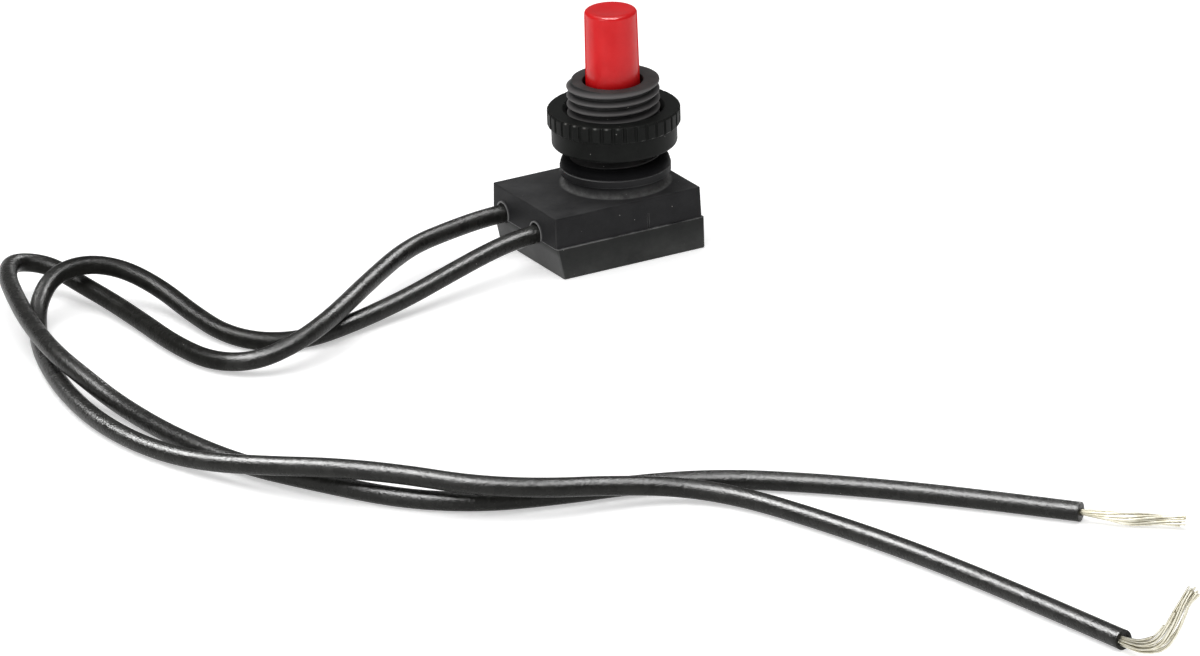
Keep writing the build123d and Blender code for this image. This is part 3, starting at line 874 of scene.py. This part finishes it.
def coiled_spring():
    """The return spring as a screwed wire, its foot on the base."""
    low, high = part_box("return_spring")
    wire = SPRING_WIRE * MM
    coil_radius = (SPRING_DIAMETER - SPRING_WIRE) / 2 * MM
    bpy.ops.object.select_all(action="DESELECT")
    bpy.ops.mesh.primitive_circle_add(
        vertices=12, radius=wire / 2, location=(coil_radius, 0, low[2] + wire / 2),
        rotation=(math.pi / 2, 0, 0))
    spring = bpy.context.object
    spring.name = "coiled_spring"
    bpy.ops.object.transform_apply(location=True, rotation=True, scale=False)
    coil = spring.modifiers.new("coil", "SCREW")
    coil.axis = "Z"
    coil.angle = 2 * math.pi
    coil.screw_offset = (high[2] - low[2] - wire) / SPRING_TURNS
    coil.iterations = SPRING_TURNS
    coil.steps = SPRING_STEPS
    coil.render_steps = SPRING_STEPS
    apply_modifiers(spring)
    bpy.ops.object.mode_set(mode="EDIT")
    bpy.ops.mesh.select_all(action="SELECT")
    bpy.ops.mesh.remove_doubles(threshold=CLOSE)
    bpy.ops.mesh.select_all(action="SELECT")
    bpy.ops.mesh.fill_holes(sides=0)
    bpy.ops.mesh.select_all(action="SELECT")
    bpy.ops.mesh.normals_make_consistent(inside=False)
    bpy.ops.object.mode_set(mode="OBJECT")
    bpy.ops.object.shade_smooth_by_angle(angle=math.radians(40))
    spring.data.materials.append(spring_steel)
    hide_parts("return_spring")
    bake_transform(spring)
    return spring


coiled_spring()


# Leads


def round_curve(name, diameter, sides):
    """An empty curve with a round section and closed ends; sides is the section's resolution."""
    curve = bpy.data.curves.new(name, "CURVE")
    curve.dimensions = "3D"
    curve.bevel_depth = diameter / 2 * MM
    curve.bevel_resolution = sides
    curve.use_fill_caps = True
    thing = bpy.data.objects.new(name, curve)
    bpy.context.scene.collection.objects.link(thing)
    return thing


def add_run(curve, points, steps):
    """Adds a smooth open run with these control points, in millimetres, to a curve."""
    spline = curve.splines.new("NURBS")
    spline.points.add(len(points) - 1)
    for point, where in zip(spline.points, points):
        point.co = (*(Vector(where) * MM), 1)
    spline.order_u = 3
    spline.use_endpoint_u = True
    spline.resolution_u = steps


def lead_cord(name, route):
    """One insulated lead as a smooth cord through its route."""
    cord = round_curve(name, LEAD_DIAMETER, 6)
    add_run(cord.data, route, 8)
    place(cord, "housing", insulation)
    return cord


def uneven_cut(sleeve, end, along, uneven, seed):
    """Slants and roughens the sleeve's cut edge, and pinches its other edge into the cord."""
    draws = random.Random(seed)
    lean = draws.uniform(0, 2 * math.pi)
    sideways = along.orthogonal().normalized()
    upright = along.cross(sideways)
    for vertex in sleeve.data.vertices:
        out = vertex.co - end
        if out.dot(along) > 0:
            turn = math.atan2(out.dot(upright), out.dot(sideways))
            slant = CUT_SLANT * math.cos(turn - lean) + CUT_WAVE * math.sin(3 * turn + lean)
            slant += draws.uniform(-CUT_ROUGHNESS, CUT_ROUGHNESS)
            vertex.co += along * slant * uneven * MM
        else:
            vertex.co -= (out - along * out.dot(along)).normalized() * SLEEVE_PINCH * MM


def cut_insulation(name, route, hole, ahead, uneven, seed):
    """The hollow end of the insulation, cut a little unevenly, round the bare strands. Hole is its inner
    diameter and ahead how far it goes past the cord, in millimetres; uneven scales the cut's slant."""
    end = Vector(route[-1]) * MM
    along = (end - Vector(route[-2]) * MM).normalized()
    behind = SLEEVE_BEHIND * MM
    bpy.ops.object.select_all(action="DESELECT")
    bpy.ops.mesh.primitive_cylinder_add(
        vertices=48, radius=(LEAD_DIAMETER / 2 + SLEEVE_PROUD) * MM, depth=behind + ahead * MM,
        end_fill_type="NOTHING", location=end + along * (ahead * MM - behind) / 2,
        rotation=along.to_track_quat("Z", "Y").to_euler())
    sleeve = bpy.context.object
    sleeve.name = name
    bpy.ops.object.transform_apply(location=True, rotation=True, scale=False)
    uneven_cut(sleeve, end, along, uneven, seed)
    wall = sleeve.modifiers.new("wall", "SOLIDIFY")
    wall.thickness = (LEAD_DIAMETER - hole) / 2 * MM
    wall.offset = -1
    rounded = sleeve.modifiers.new("rounded", "BEVEL")
    rounded.width = CUT_ROUND * MM
    rounded.segments = 2
    rounded.limit_method = "ANGLE"
    apply_modifiers(sleeve)
    bpy.ops.object.shade_smooth_by_angle(angle=math.radians(40))
    place(sleeve, "housing", insulation)
    return sleeve


def bare_strands(name, node, stations, twist, count, ends, seed):
    """Bare strands of a stripped end, which replace a node. Twist is the bundle's turns, and ends gives the
    last station of the strands that stop early."""
    draws = random.Random(seed)
    middles = [Vector(station[0]) for station in stations]
    flat_side = Vector(STRAND_FACING).normalized()
    golden = math.pi * (3 - math.sqrt(5))
    strands = round_curve(name, STRAND_DIAMETER, 3)
    for number in range(count):
        reach = math.sqrt((number + 0.5) / count)
        angle = number * golden
        last = ends.get(number, len(stations) - 1)
        points = []
        for row, (_, half_width, half_thickness) in enumerate(stations[:last + 1]):
            before = middles[max(row - 1, 0)]
            after = middles[min(row + 1, len(middles) - 1)]
            tangent = (after - before).normalized()
            across = tangent.cross(flat_side).normalized()
            deep = across.cross(tangent)
            turned = angle + 2 * math.pi * twist * row / (len(stations) - 1)
            stray = draws.uniform(-STRAND_STRAY, STRAND_STRAY)
            points.append(
                middles[row] + across * (math.cos(turned) * reach * half_width + stray)
                + deep * math.sin(turned) * reach * half_thickness)
        tip = (points[-1] - points[-2]).normalized()
        points[-1] += tip * draws.uniform(STRAND_SHORTEST, STRAND_LONGEST)
        add_run(strands.data, points, 6)
    place(strands, "housing", tinned_wire)
    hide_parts(node)
    return strands


lead_a_cord = lead_cord("lead_a_cord", LEAD_A_ROUTE)
lead_b_cord = lead_cord("lead_b_cord", LEAD_B_ROUTE)
lead_a_end = cut_insulation("lead_a_cut_end", LEAD_A_ROUTE, hole=LEAD_A_HOLE, ahead=0.04, uneven=0.3, seed=3)
lead_b_end = cut_insulation("lead_b_cut_end", LEAD_B_ROUTE, hole=CORE_DIAMETER, ahead=0.12, uneven=1, seed=8)
lead_a_wires = bare_strands(
    "lead_a_wires", "lead_a_strands", LEAD_A_STATIONS, twist=0.45, count=16, ends={14: 5}, seed=21)
lead_b_wires = bare_strands(
    "lead_b_wires", "lead_b_strands", LEAD_B_STATIONS, twist=0.2, count=17, ends={5: 3, 9: 5, 11: 6, 14: 4},
    seed=34)
for cord, node, route, length, pieces in (
    (lead_a_cord, "lead_a", LEAD_A_ROUTE, LEAD_A_LENGTH, [lead_a_end, lead_a_wires]),
    (lead_b_cord, "lead_b", LEAD_B_ROUTE, LEAD_B_LENGTH, [lead_b_end, lead_b_wires]),
):
    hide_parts(node)


# Floor and light


def pale_floor():
    """A pale, faintly glowing floor."""
    bpy.ops.object.select_all(action="DESELECT")
    bpy.ops.mesh.primitive_plane_add(size=8)
    floor = bpy.context.object
    floor.name = "floor"
    paint, _, shader = new_material("floor_paint")
    shader.inputs["Base Color"].default_value = (0.92, 0.92, 0.92, 1)
    shader.inputs["Roughness"].default_value = 0.7
    shader.inputs["Emission Color"].default_value = (1, 1, 1, 1)
    shader.inputs["Emission Strength"].default_value = 0.45
    floor.data.materials.append(paint)


def white_surroundings():
    """A dim white world."""
    world = bpy.data.worlds.new("studio")
    bpy.context.scene.world = world
    world.use_nodes = True
    world.node_tree.nodes["Background"].inputs["Color"].default_value = (1, 1, 1, 1)
    world.node_tree.nodes["Background"].inputs["Strength"].default_value = 0.2


def receivers(name, pieces):
    """A collection of the pieces that a lamp shines on."""
    collection = bpy.data.collections.new(name)
    for piece in pieces:
        collection.objects.link(piece)
    return collection


def lamp(name, place_at, aim_at, width, height, power, fills, shines_on):
    """A rectangular lamp, in metres and watts. One that doesn't fill gives only its reflection, and
    shines_on is the pieces that it lights, or None for all."""
    data = bpy.data.lights.new(name, "AREA")
    data.shape = "RECTANGLE"
    data.size = width
    data.size_y = height
    data.energy = power
    light = bpy.data.objects.new(name, data)
    bpy.context.scene.collection.objects.link(light)
    light.visible_diffuse = fills
    light.light_linking.receiver_collection = shines_on
    light.location = place_at
    light.rotation_euler = (Vector(aim_at) - Vector(place_at)).to_track_quat("-Z", "Y").to_euler()


def studio():
    """One broad soft light with a weak one from the left. The other lamps give only their reflections, most
    of them on the leads or the button alone."""
    pale_floor()
    white_surroundings()
    lead_a = receivers("lead_a_alone", (lead_a_cord, lead_a_end))
    lead_b = receivers("lead_b_alone", (lead_b_cord, lead_b_end))
    button = receivers("button_alone", (nodes["button"],))
    leads = receivers("leads_alone", (lead_a_cord, lead_a_end, lead_b_cord, lead_b_end))
    lamp("overhead_light", (-0.1, 0.2, 1.6), (-0.02, -0.04, 0), 2.0, 2.0, 26.0, True, None)
    lamp("left_light", (-1.0, -0.45, 0.45), (0, 0, 0.01), 0.9, 0.9, 3.5, True, None)
    lamp("top_lamp", (-0.28, 0.03, 0.95), (-0.03, -0.03, 0), 0.3, 0.3, 3.5, False, None)
    lamp("strip_light", (-0.75, -0.29, 0.2), (0, 0, 0.02), 0.12, 0.4, 0.8, False, None)
    lamp("button_lamp", (-0.18, -0.32, 0.95), (0, 0, 0.025), 0.8, 0.4, 34.0, False, button)
    lamp("lead_a_far_lamp", (0.70, 0.45, 0.58), (-0.035, -0.006, 0), 0.3, 0.3, 11.0, False, lead_a)
    lamp("lead_a_bend_lamp", (0.34, -0.01, 0.85), (-0.045, -0.013, 0), 0.3, 0.3, 11.0, False, lead_a)
    lamp("lead_b_far_lamp", (0.49, -0.14, 0.84), (-0.025, -0.005, 0), 0.3, 0.3, 32.0, False, lead_b)
    lamp("leads_left_lamp", (-0.55, -0.05, 0.85), (-0.055, -0.05, 0), 1.1, 0.36, 105.0, False, leads)
    lamp("leads_front_lamp", (0.05, -0.55, 0.85), (-0.04, -0.062, 0), 0.35, 0.35, 28.0, False, leads)
    lamp("lead_b_near_lamp", (-0.50, 0.49, 0.62), (-0.02, -0.1, 0), 0.35, 0.35, 36.0, False, lead_b)
    bpy.context.scene.view_settings.view_transform = "Standard"


studio()
